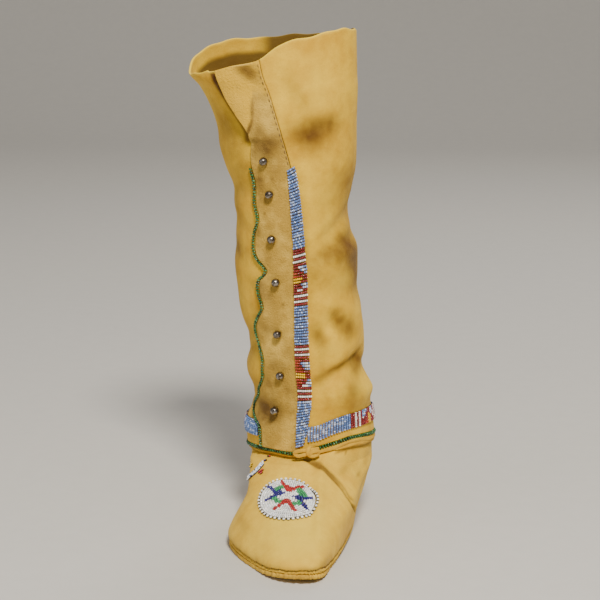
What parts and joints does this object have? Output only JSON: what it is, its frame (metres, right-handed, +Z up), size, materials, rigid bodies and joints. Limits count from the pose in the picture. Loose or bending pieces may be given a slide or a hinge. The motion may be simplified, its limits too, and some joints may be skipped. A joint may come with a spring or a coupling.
{
  "type": "moccasin boot",
  "caption": "Tall soft hide boot for the right foot: wrap leg with a buttoned front flap, beaded lane, ankle band and vamp disc, thong tie.",
  "frame": {"origin": "on the floor under the middle of the sole", "axes": "+Z up, the toe points to -Y, the heel to +Y, +X is the inner (big toe) side"},
  "size_m": [0.1568, 0.25, 0.418],
  "materials": {
    "sole_hide": "matte thick hide",
    "foot_hide": "matte tanned hide",
    "leg_hide": "matte tanned hide",
    "flap_hide": "suede side of the hide",
    "lane_beads": "glossy seed beads",
    "band_beads": "glossy seed beads",
    "edging_beads": "glossy seed beads",
    "rosette_beads": "glossy seed beads",
    "motif_beads": "glossy seed beads",
    "button_metal": "worn silvery metal",
    "thong_hide": "matte hide thong"
  },
  "bodies": {
    "root": {"sole": "sole_hide", "foot_upper": "foot_hide", "leg_shaft": "leg_hide", "button_flap": "flap_hide", "bead_strip": "lane_beads", "ankle_band": "band_beads", "hem_edging": "edging_beads", "flap_edging": "edging_beads", "toe_rosette": "rosette_beads", "side_motif": "motif_beads", "button_1": "button_metal", "button_2": "button_metal", "button_3": "button_metal", "button_4": "button_metal", "button_5": "button_metal", "button_6": "button_metal", "button_7": "button_metal", "ankle_tie": "thong_hide", "tie_knot": "thong_hide", "tie_end": "thong_hide"}
  },
  "joints": []
}
